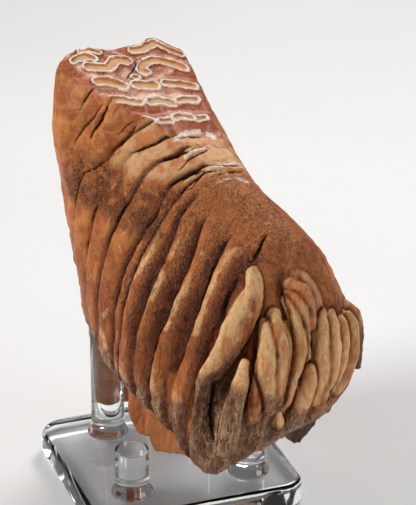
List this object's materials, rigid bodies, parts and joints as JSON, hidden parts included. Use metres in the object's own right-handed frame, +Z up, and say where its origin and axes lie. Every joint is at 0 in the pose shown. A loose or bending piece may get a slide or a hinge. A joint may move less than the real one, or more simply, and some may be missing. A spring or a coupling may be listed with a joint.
{
  "type": "fossil mammoth molar",
  "caption": "Fossil mammoth molar with a worn chewing face and free finger-like hind plates, standing on clear pegs over a clear base block.",
  "frame": {"origin": "centre of the base block's underside", "axes": "+Z up the tooth's crown, +X along the base block's front edge to the right, -Y towards the tooth's hind end with the free plates"},
  "size_m": [0.1456, 0.1778, 0.2489],
  "materials": {
    "fossil": "mineralised tooth: warm brown plates with cream ridges, rough dark cement in the grooves, glossy pale enamel loops on the worn face",
    "acrylic": "clear polished acrylic"
  },
  "bodies": {
    "root": {"molar": "fossil", "base_block": "acrylic", "peg_rear_left": "acrylic", "peg_rear_right": "acrylic", "peg_front_left": "acrylic", "peg_front_right": "acrylic"}
  },
  "joints": []
}
